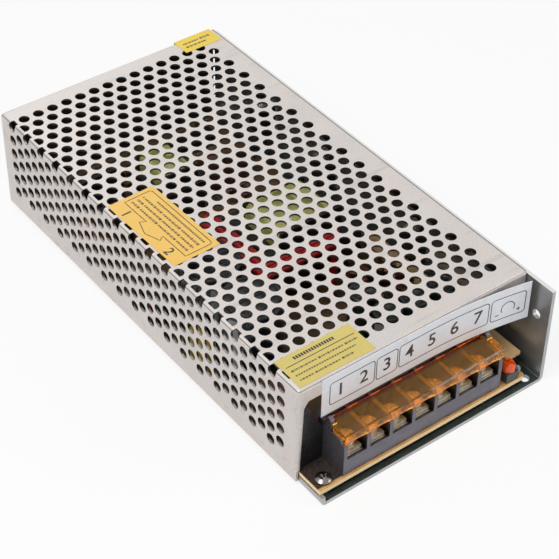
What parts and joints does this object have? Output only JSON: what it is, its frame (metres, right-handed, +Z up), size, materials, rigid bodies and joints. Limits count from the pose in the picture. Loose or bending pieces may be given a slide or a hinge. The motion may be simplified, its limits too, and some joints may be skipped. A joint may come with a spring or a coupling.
{
  "type": "mesh case switching power supply",
  "caption": "Open-front switching power supply in a folded, perforated metal case with a row of screw terminals under an amber flip cover.",
  "frame": {"origin": "middle of the underside of the case", "axes": "+Z up, terminal end towards -Y, solid wall towards +X"},
  "size_m": [0.098, 0.1931, 0.0421],
  "materials": {
    "chassis_sheet": "satin folded sheet",
    "cover_sheet": "galvanised, satin",
    "screw_metal": "nickel plated",
    "contact_metal": "tinned",
    "bracket_metal": "yellow chromate",
    "black_film": "satin film",
    "label_film": "satin film",
    "pale_yellow_film": "satin film",
    "yellow_film": "satin film",
    "board": "phenolic paper",
    "block_plastic": "moulded",
    "amber_plastic": "clear moulded",
    "grey_plastic": "moulded",
    "orange_plastic": "moulded",
    "lamp_plastic": "clear",
    "black_package": "moulded",
    "pad_silicone": "soft sheet",
    "glass_tube": "clear",
    "yellow_case": "moulded",
    "brown_case": "dipped",
    "blue_coating": "dipped",
    "green_coating": "dipped",
    "ferrite": "sintered",
    "enamelled_copper": "enamelled",
    "yellow_tape": "wound tape",
    "can_sleeve": "shrunk sleeve",
    "output_sleeve": "shrunk sleeve",
    "resistor_coating": "dipped",
    "red_sleeve": "sleeved wire",
    "red_plastic": "moulded"
  },
  "bodies": {
    "body": {"base_chassis": "chassis_sheet", "perforated_cover": "cover_sheet", "cover_screws": "screw_metal", "board_standoffs": "contact_metal", "board_screws": "screw_metal", "under_board_film": "black_film", "barrier_sheet": "black_film", "marking_strip": "label_film", "front_sticker": "pale_yellow_film", "selector_sticker": "yellow_film", "back_sticker": "yellow_film", "circuit_board": "board", "terminal_housing": "block_plastic", "contact_plates": "contact_metal", "trimmer_body": "grey_plastic", "indicator_lamp": "lamp_plastic", "output_bus_bar": "bracket_metal", "package_screws": "screw_metal", "package_nuts": "screw_metal", "insulating_pads": "pad_silicone", "output_rectifiers": "black_package", "switching_transistors": "black_package", "fuse": "glass_tube", "fuse_clips": "contact_metal", "film_capacitors": "brown_case", "line_capacitor": "yellow_case", "disc_capacitors": "blue_coating", "inrush_thermistor": "green_coating", "filter_choke_core": "ferrite", "filter_choke_windings": "enamelled_copper", "bridge_rectifier": "black_package", "bulk_capacitors": "can_sleeve", "transformer_core": "ferrite", "transformer_winding": "yellow_tape", "transformer_bobbin": "black_package", "drive_core": "ferrite", "drive_bobbin": "black_package", "drive_winding": "yellow_tape", "output_choke_core": "ferrite", "output_choke_winding": "enamelled_copper", "output_capacitors": "output_sleeve", "control_chip": "black_package", "small_resistors": "resistor_coating", "red_leads": "red_sleeve", "selector_switch": "black_package"},
    "flip_cover": {"terminal_flap": "amber_plastic"},
    "trimmer": {"trimmer_rotor": "orange_plastic"},
    "selector": {"selector_slider": "red_plastic"},
    "clamp_1": {"clamp_plate_1": "contact_metal"},
    "screw_1": {"terminal_screw_1": "screw_metal"},
    "clamp_2": {"clamp_plate_2": "contact_metal"},
    "screw_2": {"terminal_screw_2": "screw_metal"},
    "clamp_3": {"clamp_plate_3": "contact_metal"},
    "screw_3": {"terminal_screw_3": "screw_metal"},
    "clamp_4": {"clamp_plate_4": "contact_metal"},
    "screw_4": {"terminal_screw_4": "screw_metal"},
    "clamp_5": {"clamp_plate_5": "contact_metal"},
    "screw_5": {"terminal_screw_5": "screw_metal"},
    "clamp_6": {"clamp_plate_6": "contact_metal"},
    "screw_6": {"terminal_screw_6": "screw_metal"},
    "clamp_7": {"clamp_plate_7": "contact_metal"},
    "screw_7": {"terminal_screw_7": "screw_metal"}
  },
  "joints": [
    {"name": "flip_cover_hinge", "type": "hinge", "parent": "body", "child": "flip_cover", "pos_m": [-0.0037, -0.0858, 0.02395], "axis": [-1, 0, 0], "range_deg": [0, 62]},
    {"name": "trimmer_turn", "type": "hinge", "parent": "body", "child": "trimmer", "pos_m": [0.0357, -0.0921, 0.0096], "axis": [0, 0, 1], "range_deg": [-130, 130]},
    {"name": "selector_slide", "type": "slide", "parent": "body", "child": "selector", "axis": [0, 1, 0], "range_m": [0, 0.004]},
    {"name": "clamp_1_lift", "type": "slide", "parent": "body", "child": "clamp_1", "axis": [0, 0, 1], "range_m": [0, 0.0024]},
    {"name": "screw_1_turn", "type": "hinge", "parent": "clamp_1", "child": "screw_1", "pos_m": [-0.0322, -0.088, 0.0145], "axis": [0, 0, 1], "range_deg": [0, 1440]},
    {"name": "clamp_2_lift", "type": "slide", "parent": "body", "child": "clamp_2", "axis": [0, 0, 1], "range_m": [0, 0.0024]},
    {"name": "screw_2_turn", "type": "hinge", "parent": "clamp_2", "child": "screw_2", "pos_m": [-0.0227, -0.088, 0.0145], "axis": [0, 0, 1], "range_deg": [0, 1440]},
    {"name": "clamp_3_lift", "type": "slide", "parent": "body", "child": "clamp_3", "axis": [0, 0, 1], "range_m": [0, 0.0024]},
    {"name": "screw_3_turn", "type": "hinge", "parent": "clamp_3", "child": "screw_3", "pos_m": [-0.0132, -0.088, 0.0145], "axis": [0, 0, 1], "range_deg": [0, 1440]},
    {"name": "clamp_4_lift", "type": "slide", "parent": "body", "child": "clamp_4", "axis": [0, 0, 1], "range_m": [0, 0.0024]},
    {"name": "screw_4_turn", "type": "hinge", "parent": "clamp_4", "child": "screw_4", "pos_m": [-0.0037, -0.088, 0.0145], "axis": [0, 0, 1], "range_deg": [0, 1440]},
    {"name": "clamp_5_lift", "type": "slide", "parent": "body", "child": "clamp_5", "axis": [0, 0, 1], "range_m": [0, 0.0024]},
    {"name": "screw_5_turn", "type": "hinge", "parent": "clamp_5", "child": "screw_5", "pos_m": [0.0058, -0.088, 0.0145], "axis": [0, 0, 1], "range_deg": [0, 1440]},
    {"name": "clamp_6_lift", "type": "slide", "parent": "body", "child": "clamp_6", "axis": [0, 0, 1], "range_m": [0, 0.0024]},
    {"name": "screw_6_turn", "type": "hinge", "parent": "clamp_6", "child": "screw_6", "pos_m": [0.0153, -0.088, 0.0145], "axis": [0, 0, 1], "range_deg": [0, 1440]},
    {"name": "clamp_7_lift", "type": "slide", "parent": "body", "child": "clamp_7", "axis": [0, 0, 1], "range_m": [0, 0.0024]},
    {"name": "screw_7_turn", "type": "hinge", "parent": "clamp_7", "child": "screw_7", "pos_m": [0.0248, -0.088, 0.0145], "axis": [0, 0, 1], "range_deg": [0, 1440]}
  ],
  "couplings": [
    {"joint": "screw_1_turn", "follows": "clamp_1_lift", "rad_per_m": 10472},
    {"joint": "screw_2_turn", "follows": "clamp_2_lift", "rad_per_m": 10472},
    {"joint": "screw_3_turn", "follows": "clamp_3_lift", "rad_per_m": 10472},
    {"joint": "screw_4_turn", "follows": "clamp_4_lift", "rad_per_m": 10472},
    {"joint": "screw_5_turn", "follows": "clamp_5_lift", "rad_per_m": 10472},
    {"joint": "screw_6_turn", "follows": "clamp_6_lift", "rad_per_m": 10472},
    {"joint": "screw_7_turn", "follows": "clamp_7_lift", "rad_per_m": 10472}
  ]
}
